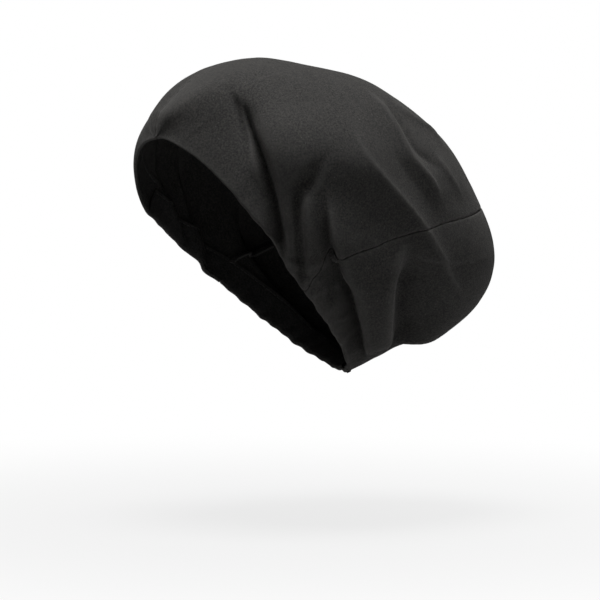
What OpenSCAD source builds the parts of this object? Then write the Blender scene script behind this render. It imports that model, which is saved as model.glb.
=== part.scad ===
// Soft slouched chef's toque: two crown panels, a lower back panel, a turned front hem
// and an elasticated nape casing. Millimetres. Wearer faces -Y, wearer's left is +X, up is +Z.
// The origin is the centre of the head opening.

/* [Opening] */
// Half the length of the head opening, front to nape
opening_half_length = 103; // [90:1:115]
// Half the width of the head opening over the ears
opening_half_width = 69; // [60:1:80]
// Half the width the elastic draws the opening towards at the nape
nape_half_width = 48; // [35:1:65]
// Lean of the opening, with the front high and the nape low
opening_lean = 46; // [35:1:55]

/* [Crown] */
// How full the sides stand away from the midline
fullness = 1; // [0.8:0.05:1.2]
// Reach of the rise from the hem, as a share of the span
hem_reach = 0.36; // [0.25:0.01:0.45]
// Angle round the opening where the back seam meets the hem
back_seam_angle = 101; // [90:1:115]

/* [Cloth] */
// Thickness of a panel with its turnings
cloth = 1.6; // [1:0.1:2.5]
// Clear space left between neighbouring layers
ease_gap = 0.4; // [0.2:0.1:1]
// Depth of the front facing
facing_depth = 22; // [15:1:30]
// Depth of the nape casing
casing_depth = 17; // [12:1:25]
// Depth of the elastic inside the casing
elastic_depth = 12; // [8:1:16]
// Thickness of the elastic
elastic_thick = 1.2; // [0.8:0.1:2]
// Angle round the opening where the facing ends and the casing begins
casing_angle = 58; // [45:1:80]
// Depth of the overlocked seam allowances
seam_depth = 8; // [5:1:12]

/* [Hidden] */

// Midline stations from the front hem over the top to the nape hem:
// distance back, height, and how far the cloth runs out level to each side there
midline = [
    [-64.2, 81.2, 4],
    [-61, 101, 26],
    [-36, 121, 44],
    [0, 131, 60],
    [38, 127, 76],
    [76, 117, 88],
    [109, 100, 90],
    [138, 72, 90],
    [158, 34, 86],
    [169, -2, 80],
    [159, -32, 70],
    [133, -50, 56],
    [102, -58, 34],
    [71.5, -74.1, 4]
];
stations = len(midline) - 1;
seam_station = 8;

// Lift of the hem off its plane by angle from the front: the wearer's left is positive,
// and the right is worn lower
lift = [[-180, 0], [-110, -4], [-60, -11], [-12, 8], [10, 12], [28, 12], [100, -2], [180, 0]];
// Half width of the opening by angle from the front
half_width = [[0, opening_half_width - 5], [60, opening_half_width - 1], [80, opening_half_width + 1],
              [175, nape_half_width]];
// Outward lean of the cloth as it leaves the hem, by station: the lower right side bulges more
flare = [[-13, 0.34], [-7.5, 0.36], [-3.5, 0.7], [1, 0.45], [13, 0.34]];

back_way = [0, cos(opening_lean), -sin(opening_lean)];
into_cap = [0, sin(opening_lean), cos(opening_lean)];
sideways = [1, 0, 0];

// Value from a table of pairs, eased smoothly from each row to the next
function eased(table, x, i = 0) =
    i < len(table) - 2 && x >= table[i + 1][0]
    ? eased(table, x, i + 1)
    : let(
        s = max(0, min(1, (x - table[i][0]) / (table[i + 1][0] - table[i][0]))),
        e = s * s * (3 - 2 * s)
      )
      table[i][1] * (1 - e) + table[i + 1][1] * e;

function unit(v) = v / norm(v);

// Smooth curve through the midline stations; t counts stations from the front
function midline_at(t) =
    let(
        i = max(0, min(stations - 1, floor(t))),
        s = t - i,
        b = midline[i],
        c = midline[i + 1],
        a = i == 0 ? 2 * b - c : midline[i - 1],
        d = i == stations - 1 ? 2 * c - b : midline[i + 2]
    )
    (2 * b + (c - a) * s + (2 * a - 5 * b + 4 * c - d) * s * s
     + (3 * b - a - 3 * c + d) * s * s * s) / 2;

function midline_point(t) = let(m = midline_at(t)) [0, m[0], m[1]];

// Way the midline points outward, square to its run
function midline_out(t) =
    let(
        a = midline_point(max(0, t - 0.02)),
        b = midline_point(min(stations, t + 0.02)),
        run = unit(b - a)
    )
    [0, -run[2], run[1]];

// Angle round the opening that belongs to a station, and the other way about
function hem_angle(t) =
    t < seam_station
    ? back_seam_angle * t / seam_station
    : back_seam_angle + (180 - back_seam_angle) * (t - seam_station) / (stations - seam_station);
function hem_station(angle) =
    angle < back_seam_angle
    ? seam_station * angle / back_seam_angle
    : seam_station + (stations - seam_station) * (angle - back_seam_angle) / (180 - back_seam_angle);

// Point of the hem in the plane of the opening
function hem_flat(angle, side) =
    -cos(angle) * opening_half_length * back_way
    + sin(angle) * eased(half_width, angle) * side * sideways;

function hem_point(angle, side) =
    hem_flat(angle, side) + eased(lift, side * angle) * into_cap;

// Way the cloth leaves the hem, and the way it faces there
function lean_out(angle, side) = eased(flare, side * hem_station(angle));
function hem_along(angle, side) =
    let(f = lean_out(angle, side))
    into_cap * sqrt(1 - f * f) + unit(hem_flat(angle, side)) * f;
function hem_out(angle, side) =
    let(f = lean_out(angle, side))
    unit(hem_flat(angle, side)) * sqrt(1 - f * f) - into_cap * f;

// Outer face of the cap: one cubic rib from the hem (v = 0) to the midline (v = 1)
function cap(t, v, side) =
    let(
        angle = hem_angle(t),
        low = hem_point(angle, side),
        top = midline_point(t),
        low_handle = low + hem_along(angle, side) * hem_reach * norm(top - low),
        top_handle = top + sideways * side * fullness * midline_at(t)[2],
        w = 1 - v
    )
    low * w * w * w + 3 * low_handle * w * w * v + 3 * top_handle * w * v * v + top * v * v * v;

// Outward way of the cap, from two short steps across the surface
function cap_out(t, v, side) =
    let(
        tc = max(0.12, min(stations - 0.12, t)),
        vc = max(0.004, min(0.996, v)),
        along = cap(tc + 0.02, vc, side) - cap(tc - 0.02, vc, side),
        across = cap(tc, vc + 0.004, side) - cap(tc, vc - 0.004, side),
        n = unit(cross(along, across)) * side
    )
    v == 1 ? unit([0, n[1], n[2]]) : n;

// Place of a grid point in the list, where a row that closes to a tip is one point
function grid_index(r, c, rows, cols, tip) =
    tip == 1 ? (r == 0 ? 0 : 1 + (r - 1) * cols + c)
    : tip == 2 ? (r == rows - 1 ? (rows - 1) * cols : r * cols + c)
    : r * cols + c;

function flat_list(grid, tip) =
    let(last = len(grid) - 1)
    [for (r = [0:last]) each (tip == 1 && r == 0) || (tip == 2 && r == last) ? [grid[r][0]] : grid[r]];

// Three corners make a face only when they are three different points
function corner(a, b, c) = a == b || b == c || c == a ? [] : [[a, b, c]];

// Closed skin between an outer grid and the same grid pushed inwards.
// tip 1 closes the first row to a point, tip 2 the last, 0 neither; flip turns the faces about.
module skin(outer, inner, tip = 0, flip = false) {
    rows = len(outer);
    cols = len(outer[0]);
    front = flat_list(outer, tip);
    back = flat_list(inner, tip);
    n = len(front);
    function g(r, c) = grid_index(r, c, rows, cols, tip);
    faces = [
        for (r = [0:rows - 2], c = [0:cols - 2]) each concat(
            corner(g(r, c), g(r, c + 1), g(r + 1, c + 1)),
            corner(g(r, c), g(r + 1, c + 1), g(r + 1, c)),
            [for (f = corner(g(r, c), g(r + 1, c + 1), g(r, c + 1))) f + [n, n, n]],
            [for (f = corner(g(r, c), g(r + 1, c), g(r + 1, c + 1))) f + [n, n, n]]
        ),
        for (r = [0:rows - 2]) each concat(
            wall(g(r, 0), g(r + 1, 0), n),
            wall(g(r + 1, cols - 1), g(r, cols - 1), n)
        ),
        for (c = [0:cols - 2]) each concat(
            wall(g(0, c + 1), g(0, c), n),
            wall(g(rows - 1, c), g(rows - 1, c + 1), n)
        )
    ];
    polyhedron(
        points = concat(front, back),
        faces = flip ? [for (f = faces) [f[2], f[1], f[0]]] : faces,
        convexity = 8
    );
}

// Edge wall from the outer points a, b to the inner points below them
function wall(a, b, n) = a == b ? [] : [[a, b, b + n], [a, b + n, a + n]];

crown_rows = 32;
crown_cols = 18;
back_rows = 17;
back_cols = 17;

// Share of the way up a rib, with closer steps by the hem
function rib_share(c, cols) = pow(c / (cols - 1), 1.25);

function crown_grid(side, depth) = [
    for (r = [0:crown_rows])
    let(t = (seam_station - 0.012) * r / crown_rows)
    [for (c = [0:crown_cols - 1])
        let(v = rib_share(c, crown_cols))
        cap(t, v, side) + sideways * side * ease_gap / 2 - cap_out(t, v, side) * depth]
];

function back_grid(depth) = [
    for (r = [0:back_rows])
    let(t = seam_station + 0.012 + (stations - seam_station - 0.012) * r / back_rows)
    [for (c = [0:2 * back_cols - 2])
        let(
            side = c < back_cols ? 1 : -1,
            v = rib_share(c < back_cols ? c : 2 * back_cols - 2 - c, back_cols)
        )
        cap(t, v, side) - cap_out(t, v, side) * depth]
];

module crown_left() {
    color([0.10, 0.10, 0.11])
        skin(crown_grid(1, 0), crown_grid(1, cloth), tip = 1);
}

module crown_right() {
    color([0.10, 0.10, 0.11])
        skin(crown_grid(-1, 0), crown_grid(-1, cloth), tip = 1, flip = true);
}

module back_panel() {
    color([0.10, 0.10, 0.11])
        skin(back_grid(0), back_grid(cloth), tip = 2);
}

// Point of a layer that follows the hem: depth inwards and height above the hem edge.
// It bends inwards with its height, and more where the cloth leans further out.
function band_bend(angle, side) = 0.006 + 0.03 * (lean_out(angle, side) - 0.36);
function band_point(angle, side, depth, high) =
    hem_point(angle, side) + hem_along(angle, side) * high
    - hem_out(angle, side) * (depth + band_bend(angle, side) * high * high);

// Layer along the hem through a list of signed angles; positive is the wearer's left
function band_grid(angles, depth, from, to, steps) = [
    for (a = angles)
    [for (c = [0:steps])
        band_point(abs(a), a < 0 ? -1 : 1, depth, from + (to - from) * c / steps)]
];

facing_angles = [for (a = [-casing_angle:casing_angle / 12:casing_angle + 0.01]) a];
function round_nape(first, count) = [
    for (i = [0:count])
    let(a = first + (360 - 2 * first) * i / count)
    a <= 180 ? a : a - 360
];

module front_facing() {
    color([0.13, 0.13, 0.14])
        skin(
            band_grid(facing_angles, cloth + ease_gap, 0.6, facing_depth, 4),
            band_grid(facing_angles, 2 * cloth + ease_gap, 0.6, facing_depth, 4),
            flip = true
        );
}

module nape_casing() {
    inset = cloth + 2 * ease_gap + elastic_thick;
    color([0.13, 0.13, 0.14])
        skin(
            band_grid(round_nape(casing_angle + 2, 44), inset, 0.6, casing_depth, 4),
            band_grid(round_nape(casing_angle + 2, 44), inset + cloth * 0.7, 0.6, casing_depth, 4)
        );
}

module elastic_band() {
    low = (casing_depth - elastic_depth) / 2;
    color([0.75, 0.74, 0.72])
        skin(
            band_grid(round_nape(casing_angle + 4, 44), cloth + ease_gap, low, low + elastic_depth, 2),
            band_grid(round_nape(casing_angle + 4, 44), cloth + ease_gap + elastic_thick,
                      low, low + elastic_depth, 2)
        );
}

// Overlocked allowances of the centre seam, standing inwards along the midline
module centre_seam() {
    first = 1.3;
    last = seam_station - 0.12;
    steps = 48;
    near = [for (i = [0:steps])
        let(t = first + (last - first) * i / steps)
        midline_point(t) - midline_out(t) * (cloth + ease_gap)];
    deep = [for (i = [0:steps])
        let(t = first + (last - first) * i / steps)
        midline_point(t) - midline_out(t) * (cloth + ease_gap + seam_depth)];
    outline = concat(near, [for (i = [steps:-1:0]) deep[i]]);
    color([0.16, 0.16, 0.17])
        rotate([90, 0, 90])
            linear_extrude(cloth, center = true)
                polygon([for (p = outline) [p[1], p[2]]]);
}

// Overlocked allowances of the back seam, from hem to hem over the back of the head
module back_seam() {
    steps = 20;
    first = 0.11;
    spans = [for (c = [0:2 * steps]) c <= steps ? first + (1 - first) * c / steps
        : first + (1 - first) * (2 * steps - c) / steps];
    function edge(i, depth, shift) =
        let(
            side = i <= steps ? 1 : -1,
            v = spans[i],
            across = unit(cap(seam_station + 0.05, v, side) - cap(seam_station - 0.05, v, side))
        )
        cap(seam_station, v, side) - cap_out(seam_station, v, side) * depth + across * shift;
    top = cloth + 2 * ease_gap;
    color([0.16, 0.16, 0.17])
        skin(
            [for (i = [0:2 * steps]) [edge(i, top, -cloth / 2), edge(i, top + seam_depth, -cloth / 2)]],
            [for (i = [0:2 * steps]) [edge(i, top, cloth / 2), edge(i, top + seam_depth, cloth / 2)]]
        );
}

crown_left();
crown_right();
back_panel();
front_facing();
nape_casing();
elastic_band();
centre_seam();
back_seam();
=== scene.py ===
# %% [markdown]
# # A soft slouch chef's toque, sewn from black twill
#
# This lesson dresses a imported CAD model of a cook's cap. The CAD holds the cap as plain
# closed skins; here each skin gives way to real cloth: panels with folds, a rolled hem,
# an elasticated casing at the nape, and the overlocked seam edges that show inside.
# Everything stays in the CAD's own frame, in metres, with the wearer facing -Y.

# %% Load the frame
import math
import bpy
import numpy as np
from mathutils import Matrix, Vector


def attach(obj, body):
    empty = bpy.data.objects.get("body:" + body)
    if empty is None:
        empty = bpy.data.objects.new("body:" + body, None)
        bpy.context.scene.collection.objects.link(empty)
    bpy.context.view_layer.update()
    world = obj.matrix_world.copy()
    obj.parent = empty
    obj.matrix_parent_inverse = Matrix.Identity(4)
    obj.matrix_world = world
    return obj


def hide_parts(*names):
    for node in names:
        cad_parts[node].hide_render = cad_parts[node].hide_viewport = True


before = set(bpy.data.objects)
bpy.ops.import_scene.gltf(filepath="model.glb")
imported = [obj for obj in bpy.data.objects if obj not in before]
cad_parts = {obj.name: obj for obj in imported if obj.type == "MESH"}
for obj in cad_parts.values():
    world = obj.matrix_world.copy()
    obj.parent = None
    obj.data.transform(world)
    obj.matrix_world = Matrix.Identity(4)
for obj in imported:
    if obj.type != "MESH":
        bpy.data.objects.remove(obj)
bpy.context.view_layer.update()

print("CAD nodes:", ", ".join(sorted(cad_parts)))

# %% [markdown]
# ## The shape under the folds
#
# Before any fold, the cap is a smooth bag. It is one family of curves: at every place
# along the midline, from the front hem over the top and round to the nape, a curved rib
# starts square to the hem and runs up to meet the midline level. The midline stations
# hold distance back, height, and how far the rib runs out level from the midline.
# Sculpting could give the same bag, but a formula keeps it true to the CAD, and lets any
# later piece ask where the cloth is at any place.

# %% Midline and hem tables
MIDLINE = np.array([
    [-64.2, 81.2, 4], [-61, 101, 26], [-36, 121, 44], [0, 131, 60], [38, 127, 76],
    [76, 117, 88], [109, 100, 90], [138, 72, 90], [158, 34, 86], [169, -2, 80],
    [159, -32, 70], [133, -50, 56], [102, -58, 34], [71.5, -74.1, 4],
], float)
LAST = len(MIDLINE) - 1                      # the nape station
SEAM = 8                                     # the station of the seam across the back
SEAM_ANGLE = 101.0                           # degrees round the hem, from the front, where it ends
HALF_LENGTH = 103.0                          # half the opening from front to nape, mm
LEAN = math.radians(46)                      # how far the plane of the opening leans
# The next tables run from the wearer's right, below zero, to the wearer's left.
# Rise of the hem out of its plane, mm, by degrees round the opening
LIFT = [(-180, 0), (-110, -4), (-60, -11), (-12, 8), (10, 12), (28, 12), (100, -2), (180, 0)]
# Half the width of the opening, mm, by degrees, the same on both sides
HALF_WIDTH = [(0, 64), (60, 68), (80, 70), (175, 48)]
# Outward lean of the cloth where it leaves the hem, by station
FLARE = [(-13, 0.34), (-7.5, 0.36), (-3.5, 0.7), (1, 0.45), (13, 0.34)]
REACH = 0.36                                 # length of a rib's hem handle, as a share of its chord
BACK_WAY = np.array([0, math.cos(LEAN), -math.sin(LEAN)])
INTO_CAP = np.array([0, math.sin(LEAN), math.cos(LEAN)])
SIDEWAYS = np.array([1.0, 0, 0])


def eased(table, x):
    """Value from a short table of pairs, easing between rows as 3s^2 - 2s^3."""
    xs, ys = np.array(table, float).T
    i = np.clip(np.searchsorted(xs, x, side="right") - 1, 0, len(xs) - 2)
    s = np.clip((x - xs[i]) / (xs[i + 1] - xs[i]), 0, 1)
    s = s * s * (3 - 2 * s)
    return ys[i] * (1 - s) + ys[i + 1] * s


def unit(a):
    """Vectors scaled to length one."""
    return a / np.maximum(np.linalg.norm(a, axis=-1, keepdims=True), 1e-9)


def through(points, t):
    """Smooth curve through points: a cubic on each span, whose slope at a point is half the step
    from the point before to the point after. t counts the points from 0."""
    i = np.clip(np.floor(t).astype(int), 0, len(points) - 2)
    s = (t - i)[..., None]
    p = np.concatenate([[2 * points[0] - points[1]], points, [2 * points[-1] - points[-2]]])
    a, b, c, d = p[i], p[i + 1], p[i + 2], p[i + 3]
    return (2 * b + (c - a) * s + (2 * a - 5 * b + 4 * c - d) * s**2 + (3 * b - a - 3 * c + d) * s**3) / 2


def midline(t):
    """The midline at a station: distance back, height, and how far a rib runs out level."""
    return through(MIDLINE, np.clip(t, 0, LAST))


def run_along(points):
    """Distance along a path to each of its points, starting at 0."""
    return np.concatenate([[0], np.cumsum(np.linalg.norm(np.diff(points, axis=0), axis=1))])


def hem_angle(t):
    """Angle round the opening that goes with a station: even steps before and after the back seam."""
    late = SEAM_ANGLE + (180 - SEAM_ANGLE) * (t - SEAM) / (LAST - SEAM)
    return np.where(t < SEAM, SEAM_ANGLE * t / SEAM, late)


def bag(t, v, side):
    """The smooth cap in mm. A rib is a cubic with four handles: the hem point, a point along the
    way the cloth leaves the hem, a point level with the midline, and the midline point."""
    t, v, side = np.broadcast_arrays(np.asarray(t, float), v, side)
    angle = hem_angle(t)
    turn = np.radians(angle)
    flat = (-np.cos(turn) * HALF_LENGTH)[..., None] * BACK_WAY
    flat = flat + (np.sin(turn) * eased(HALF_WIDTH, angle) * side)[..., None] * SIDEWAYS
    lift = eased(LIFT, angle * side)
    hem = flat + lift[..., None] * INTO_CAP
    lean_out = eased(FLARE, t * side)[..., None]
    leave = INTO_CAP * np.sqrt(1 - lean_out**2) + unit(flat) * lean_out
    m = midline(t)
    top = np.stack([0 * t, m[..., 0], m[..., 1]], -1)
    hem_handle = hem + leave * REACH * np.linalg.norm(top - hem, axis=-1, keepdims=True)
    top_handle = top + SIDEWAYS * (side * m[..., 2])[..., None]
    v = v[..., None]
    w = 1 - v
    return hem * w**3 + 3 * hem_handle * w**2 * v + 3 * top_handle * w * v**2 + top * v**3


def bag_out(t, v, side):
    """Outward way of the smooth cap: two short steps across the surface, crossed."""
    t, v, side = np.broadcast_arrays(np.asarray(t, float), v, side)
    tc, vc = np.clip(t, 0.12, LAST - 0.12), np.clip(v, 0.004, 0.996)
    along = bag(tc + 0.02, vc, side) - bag(tc - 0.02, vc, side)
    across = bag(tc, vc + 0.004, side) - bag(tc, vc - 0.004, side)
    out = np.cross(along, across) * side[..., None]
    out[..., 0] = np.where(v > 0.9999, 0, out[..., 0])
    return unit(out)


print("midline, mm:", round(float(run_along(midline(np.linspace(0, LAST, 500))[:, :2])[-1])))

# %% [markdown]
# ## Folds
#
# Cloth that is gathered at the hem and hangs over the back of the head folds in three ways.
# A *crease* is a ridge or a valley with a tight line and long flanks. A *step* is where one
# part laps over the next: a valley, a steep wall and a crest close together, and the deep ones
# slide sideways until the crest hangs over the valley. A *puff* is a soft swelling, or a soft
# dent where its height is below zero. A crease or a step is drawn as a short path over the bag,
# in station and rib share, and the cloth moves by its distance from that path. Most paths run
# downwards; "after" is the side nearer the nape. A simulation makes folds too, but not where
# they are wanted.

# %% Fold tables
# path, kind, height mm, (tightness, reach before, reach after) mm, slide mm, (fade in, fade out)
LEFT_FOLDS = [
    ([(2.3, 0.66), (2.57, 0.545), (2.85, 0.425), (3.17, 0.33), (3.57, 0.245), (4.02, 0.165), (4.4, 0.115)],
     "crease", -2.4, (1.0, 5, 4), 0.0, (0.35, 0.45)),
    ([(2.6, 0.56), (2.9, 0.465), (3.27, 0.34), (3.69, 0.255), (4.14, 0.175), (4.64, 0.12), (5.29, 0.08)],
     "crease", 3.2, (0.7, 6, 4), 0.0, (0.3, 0.45)),
    ([(2.5, 0.62), (2.77, 0.505), (3.52, 0.33), (4.32, 0.225), (5.14, 0.15), (5.86, 0.09), (6.59, 0.04),
      (6.99, 0.0)],
     "step", 6.6, (2.8, 26, 30), 2.4, (0.5, 0.12)),
    ([(2.6, 0.52), (2.85, 0.45), (3.4, 0.345), (3.97, 0.25), (4.7, 0.175), (5.3, 0.12), (5.9, 0.07),
      (6.4, 0.035), (6.8, 0.005)],
     "crease", -10.0, (2.6, 8, 8), 0.0, (0.25, 0.12)),
    ([(5.3, 0.27), (5.64, 0.2), (6.0, 0.15), (6.44, 0.105), (6.9, 0.065), (7.4, 0.025)],
     "crease", -4.0, (1.6, 4, 4), 0.0, (0.4, 0.12)),
    ([(5.81, 0.225), (5.96, 0.185), (6.24, 0.145), (6.56, 0.115), (6.99, 0.08), (7.36, 0.05), (7.61, 0.02)],
     "step", 2.2, (1.9, 7, 8), 1.4, (0.25, 0.15)),
    ([(5.35, 0.235), (5.65, 0.235), (5.95, 0.245)],
     "crease", -3.8, (4.0, 8, 8), 0.0, (0.5, 0.5)),
    ([(5.9, 0.27), (6.5, 0.21), (7.1, 0.165), (7.6, 0.15), (8.05, 0.135), (8.5, 0.135), (9.1, 0.12),
      (9.9, 0.115), (10.6, 0.12), (11.7, 0.16)],
     "step", 7.6, (2.1, 12, 26), 4.8, (0.4, 0.2)),
    ([(7.8, 0.125), (8.2, 0.115), (8.7, 0.108), (9.4, 0.10), (10.2, 0.10), (10.9, 0.105)],
     "crease", -3.4, (1.5, 4, 5), 0.0, (0.35, 0.2)),
    ([(8.2, 0.005), (8.3, 0.035)],
     "crease", 0.9, (0.5, 1.6, 1.6), 0.0, (0.3, 0.3)),
    ([(9.2, 0.015), (9.33, 0.045), (9.43, 0.07)],
     "crease", 1.0, (0.5, 1.6, 1.6), 0.0, (0.3, 0.3)),
    ([(7.95, 0.12), (8.35, 0.07), (8.9, 0.03)],
     "crease", -2.4, (2.0, 6, 6), 0.0, (0.4, 0.4)),
    ([(5.09, 0.515), (5.56, 0.455), (5.94, 0.42), (6.44, 0.41), (7.01, 0.42), (7.88, 0.45), (8.41, 0.465),
      (9.03, 0.50), (9.78, 0.605)],
     "crease", 5.2, (0.7, 18, 8), 0.0, (0.35, 0.3)),
    ([(4.82, 0.785), (5.12, 0.725), (5.54, 0.66), (5.94, 0.61), (6.49, 0.56), (7.14, 0.565), (7.71, 0.575)],
     "crease", 4.0, (0.7, 10, 6), 0.0, (0.3, 0.25)),
    ([(5.3, 0.84), (5.6, 0.765), (5.85, 0.74), (6.1, 0.75), (6.5, 0.77), (6.9, 0.77)],
     "crease", 3.2, (0.7, 6, 8), 0.0, (0.35, 0.35)),
    ([(5.2, 0.78), (5.5, 0.72), (5.95, 0.66), (6.45, 0.61), (6.8, 0.62), (7.2, 0.66)],
     "crease", -3.0, (1.8, 4, 5), 0.0, (0.3, 0.4)),
    ([(5.91, 0.53), (6.44, 0.505), (6.94, 0.505), (7.44, 0.515), (7.9, 0.54)],
     "crease", -1.4, (2.5, 7, 6), 0.0, (0.35, 0.35)),
    ([(6.6, 0.69), (6.9, 0.665), (7.3, 0.67), (7.7, 0.70)],
     "crease", 2.0, (0.9, 5, 6), 0.0, (0.4, 0.4)),
    ([(7.83, 0.39), (8.04, 0.35), (8.33, 0.3), (8.8, 0.26), (9.35, 0.245), (10.0, 0.245), (10.9, 0.285)],
     "crease", 8.5, (1.2, 20, 6), 0.0, (0.3, 0.15)),
    ([(8.1, 0.40), (8.45, 0.35), (8.9, 0.315), (9.45, 0.3), (10.1, 0.31), (10.9, 0.37), (11.5, 0.43)],
     "crease", -12.5, (3.6, 6, 19), 0.0, (0.35, 0.12)),
]

# puffs: station, rib share, height mm, radius mm
LEFT_PUFFS = [
    (4.6, 0.31, 4.5, 26), (5.1, 0.37, 4.0, 26), (5.6, 0.42, 3.5, 26), (6.1, 0.45, 2.0, 24),
    (3.0, 0.97, 1.2, 25), (4.8, 0.88, 2.4, 24), (8.2, 0.80, 2.6, 30), (9.1, 0.73, 3.0, 26),
    (10.8, 0.60, 3.0, 20), (11.2, 0.62, 2.5, 16), (6.1, 0.385, 2.6, 16),
]
RIGHT_PUFFS = [(1.2, 0.12, 1.8, 20), (2.6, 0.12, 3.4, 22), (4.0, 0.12, 2.8, 22), (1.2, 0.87, -2.8, 20)]
print("folds drawn on the wearer's left:", len(LEFT_FOLDS))

# The wearer's right hangs a little lower, so its folds start lower and fewer of them meet.
RIGHT_FOLDS = [
    ([(2.6, 0.50), (3.3, 0.34), (4.2, 0.20), (5.2, 0.11), (6.2, 0.03)],
     "step", 3.6, (2.8, 11, 14), 1.6, (0.45, 0.12)),
    ([(4.3, 0.36), (4.9, 0.25), (5.7, 0.16), (6.6, 0.08), (7.3, 0.0)],
     "step", 4.4, (3.0, 11, 16), 2.2, (0.45, 0.12)),
    ([(6.5, 0.30), (7.1, 0.22), (7.8, 0.165), (8.6, 0.14), (9.4, 0.135), (10.4, 0.16)],
     "step", 4.6, (3.0, 12, 18), 3.4, (0.45, 0.3)),
    ([(4.9, 0.58), (5.6, 0.52), (6.4, 0.50), (7.2, 0.49), (8.1, 0.46), (8.9, 0.44), (9.6, 0.47)],
     "crease", 4.8, (1.2, 15, 12), 0.0, (0.35, 0.35)),
    ([(4.6, 0.82), (5.3, 0.74), (6.1, 0.70), (6.9, 0.69), (7.5, 0.70)],
     "crease", 3.6, (1.2, 8, 8), 0.0, (0.35, 0.35)),
    ([(5.6, 0.63), (6.3, 0.60), (7.0, 0.59)],
     "crease", -2.8, (3.5, 9, 9), 0.0, (0.4, 0.4)),
    ([(8.3, 0.60), (8.9, 0.56), (9.6, 0.56), (10.3, 0.62)],
     "crease", 4.0, (1.6, 13, 10), 0.0, (0.35, 0.35)),
    ([(8.3, 0.31), (9.0, 0.30), (9.8, 0.31), (10.6, 0.36)],
     "crease", -6.0, (4.5, 10, 13), 0.0, (0.35, 0.3)),
]


HEM_FADE = 0.16                              # a fold that fades out faster than this runs into the hem


def smooth(x):
    """0 below 0, 1 above 1, and 3x^2 - 2x^3 between."""
    x = np.clip(x, 0, 1)
    return x**2 * (3 - 2 * x)


def path_points(path, side, count=160):
    """Even points along a fold: the path's own corners are rounded by the same cubic as the midline."""
    tv = through(np.array(path, float), np.linspace(0, len(path) - 1 - 1e-9, 600))
    xyz = bag(tv[:, 0], np.clip(tv[:, 1], 0, 1), side)
    run = run_along(xyz)
    even = np.linspace(0, run[-1], count)
    return np.stack([np.interp(even, run, xyz[:, k]) for k in range(3)], -1)


def fold_moves(points, out, folds, side):
    """How every point moves for these folds. For each fold: the nearest place on its path, the
    signed distance across it, and the fold's own profile of that distance. A point more than
    40 mm above or below the path is on the cap's other side, and stays where it is. A fold that
    runs into the hem keeps over half its height there.
    crease: height * exp(-(sqrt(s^2 + tight^2) - tight) / reach), a ridge or valley with a round line.
    step: height * tanh(s / tight) * exp(-(s / reach)^2), and a slide of -slide * the same shape."""
    moved = np.zeros_like(points)
    flat_p, flat_n = points.reshape(-1, 3), out.reshape(-1, 3)
    flat_m = moved.reshape(-1, 3)
    for path, kind, height, (tight, before, after), slide, (fade_in, fade_out) in folds:
        line = path_points(path, side)
        wide = 4 * max(before, after)
        near = np.all((flat_p > line.min(0) - wide) & (flat_p < line.max(0) + wide), axis=1)
        p, n = flat_p[near], flat_n[near]
        gap = (p**2).sum(1)[:, None] - 2 * p @ line.T + (line**2).sum(1)[None]
        k = gap.argmin(1)
        run = unit(np.gradient(line, axis=0))[k]
        across = unit(np.cross(n, run))
        offset = p - line[k]
        s = (offset * across).sum(1) * side
        beyond = np.abs((offset * run).sum(1))
        deep = np.abs((offset * n).sum(1))
        u = k / (len(line) - 1)
        fading = smooth((1 - u) / fade_out)
        if fade_out <= HEM_FADE:
            fading = 0.55 + 0.45 * fading
        strength = smooth(u / fade_in) * fading
        strength = strength * np.exp(-(beyond / 6)**2) * smooth((40 - deep) / 20)
        reach = np.where(s < 0, before, after)
        if kind == "crease":
            shape = np.exp(-(np.sqrt(s * s + tight * tight) - tight) / reach * 1.4)
            flat_m[near] += n * (height * strength * shape)[:, None]
        else:
            shape = np.tanh(s / tight) * np.exp(-(s / reach)**2)
            flat_m[near] += n * (height * strength * shape)[:, None]
            flat_m[near] -= across * (side * slide * strength * shape)[:, None]
    return moved


def puff_moves(points, out, puffs, side):
    """How every point moves for soft swellings: height * exp(-(distance / radius)^2) outwards."""
    moved = np.zeros_like(points)
    for t, v, height, radius in puffs:
        centre = bag(np.array(t), np.array(v), side)
        far = np.linalg.norm(points - centre, axis=-1)
        moved += out * (height * np.exp(-(far / radius)**2))[..., None]
    return moved


print("folds drawn on the wearer's right:", len(RIGHT_FOLDS))

# %% [markdown]
# ## Gathers, softness and the pull of the seams
#
# Elastic in the nape casing draws the back half of the hem into small gathers: short ribs
# that start at the hem and die out up the cloth, no two alike. The front half is smooth.
# The rest of the cloth is never quite smooth either, so a soft noise lifts it by a
# millimetre or so. Both come from one seeded random generator, so the cap is the same
# each time. The seam across the back rides up near the hem, where the deep lap drags it.

# %% Gathers and soft noise
chance = np.random.default_rng(23)
GATHERS = 74
gather_turn = np.cumsum(chance.uniform(0.6, 1.5, GATHERS))
gather_turn = 55 + (305 - 55) * gather_turn / gather_turn[-1]       # degrees round the opening
gather_high = chance.uniform(0.15, 0.75, GATHERS) * np.where(chance.uniform(0, 1, GATHERS) > 0.45, 1, -1)
gather_long = chance.uniform(5, 20, GATHERS)
gather_wide = chance.uniform(2.6, 4.4, GATHERS)
lattice = chance.uniform(-1, 1, (3, 40, 40, 40))


def soft_noise(points, size, layer):
    """Smooth noise from -1 to 1: random values on a lattice of this size in mm, eased between."""
    q = points / size + 17.3
    i = np.floor(q).astype(int)
    f = q - i
    f = f * f * (3 - 2 * f)
    total = 0
    for a in (0, 1):
        for b in (0, 1):
            for c in (0, 1):
                w = np.abs(1 - a - f[..., 0]) * np.abs(1 - b - f[..., 1]) * np.abs(1 - c - f[..., 2])
                corner = (i + np.array([a, b, c])) % 40
                total = total + w * lattice[layer, corner[..., 0], corner[..., 1], corner[..., 2]]
    return total


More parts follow.
